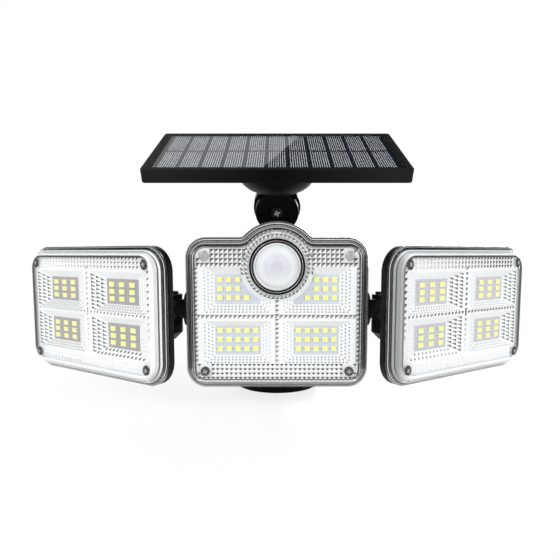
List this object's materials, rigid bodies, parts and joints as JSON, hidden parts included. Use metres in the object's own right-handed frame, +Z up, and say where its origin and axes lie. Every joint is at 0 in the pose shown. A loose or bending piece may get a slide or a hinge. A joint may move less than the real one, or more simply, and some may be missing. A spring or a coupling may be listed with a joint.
{
  "type": "solar floodlight",
  "caption": "Outdoor solar floodlight: a centre lamp with a motion sensor, side lamps on swivel arms, a tilting solar panel above and a round screw-down base.",
  "frame": {"origin": "centre of the base plate's underside, where it is screwed down", "axes": "+Z up away from the base plate, front of the lamps towards -Y, +X to the right as seen from the front"},
  "size_m": [0.359, 0.1102, 0.1886],
  "materials": {
    "black_plastic": "satin moulded",
    "clear_lens": "clear moulded polycarbonate",
    "white_reflector": "bright white",
    "light_board": "pale solder mask",
    "light_chip": "yellow phosphor",
    "steel": "zinc plated",
    "black_steel": "blackened",
    "black_rubber": "matt",
    "sensor_white": "milky translucent",
    "sensor_metal": "tin can",
    "battery_wrap": "shrink sleeve",
    "circuit_green": "solder mask",
    "silicon": "dark blue-black cell",
    "panel_glass": "smooth cover"
  },
  "bodies": {
    "base": {"base_bracket": "black_plastic"},
    "lamp": {"centre_rear_shell": "black_plastic", "centre_gasket": "black_rubber", "centre_reflector": "white_reflector", "centre_light_board": "light_board", "centre_light_chips": "light_chip", "centre_lens": "clear_lens", "centre_lens_screws": "steel", "sensor_ring": "black_plastic", "sensor_dome": "sensor_white", "sensor_element": "sensor_metal", "battery_cell": "battery_wrap", "battery_cradle": "black_plastic", "control_board": "circuit_green", "button_switch": "black_plastic", "base_bolt": "black_steel", "base_nut": "steel", "tilt_bolt": "black_steel", "tilt_nut": "steel"},
    "button": {"mode_button": "black_rubber"},
    "tilt_link": {"tilt_arm": "black_plastic", "knuckle_washer": "black_rubber", "knuckle_screw": "steel", "knuckle_nut": "steel"},
    "solar_panel": {"panel_bracket": "black_plastic", "panel_frame": "black_plastic", "solar_cells": "silicon", "panel_glass": "panel_glass", "panel_screws": "steel"},
    "left_swivel": {"left_arm": "black_plastic", "left_arm_clip": "steel"},
    "left_head": {"left_head_rear_shell": "black_plastic", "left_head_reflector": "white_reflector", "left_head_lens": "clear_lens", "left_head_gasket": "black_rubber", "left_head_light_board": "light_board", "left_head_light_chips": "light_chip", "left_head_lens_screws": "steel", "left_hinge_pin": "black_steel"},
    "right_swivel": {"right_arm": "black_plastic", "right_arm_clip": "steel"},
    "right_head": {"right_head_rear_shell": "black_plastic", "right_head_reflector": "white_reflector", "right_head_lens": "clear_lens", "right_head_gasket": "black_rubber", "right_head_light_board": "light_board", "right_head_light_chips": "light_chip", "right_head_lens_screws": "steel", "right_hinge_pin": "black_steel"}
  },
  "joints": [
    {"name": "base_tilt", "type": "hinge", "parent": "base", "child": "lamp", "pos_m": [0, 0, 0.032], "axis": [1, 0, 0], "range_deg": [-90, 8]},
    {"name": "left_arm_swivel", "type": "hinge", "parent": "lamp", "child": "left_swivel", "pos_m": [-0.0701, -0.042, 0.06155], "axis": [1, 0, 0], "range_deg": [-45, 45]},
    {"name": "left_head_yaw", "type": "hinge", "parent": "left_swivel", "child": "left_head", "pos_m": [-0.0701, -0.042, 0.06155], "axis": [0, 0, -1], "range_deg": [-6, 50]},
    {"name": "right_arm_swivel", "type": "hinge", "parent": "lamp", "child": "right_swivel", "pos_m": [0.0701, -0.042, 0.06155], "axis": [1, 0, 0], "range_deg": [-45, 45]},
    {"name": "right_head_yaw", "type": "hinge", "parent": "right_swivel", "child": "right_head", "pos_m": [0.0701, -0.042, 0.06155], "axis": [0, 0, 1], "range_deg": [-6, 50]},
    {"name": "panel_tilt", "type": "hinge", "parent": "lamp", "child": "tilt_link", "pos_m": [0, 0.006, 0.105], "axis": [1, 0, 0], "range_deg": [-65, 10]},
    {"name": "panel_roll", "type": "hinge", "parent": "tilt_link", "child": "solar_panel", "pos_m": [0, -0.00818, 0.13167], "axis": [0, 0.8829, 0.4695], "range_deg": [-15, 15]},
    {"name": "button_press", "type": "slide", "parent": "lamp", "child": "button", "axis": [0, -1, 0], "range_m": [0, 0.0008], "stiffness_N_per_m": 2500}
  ]
}
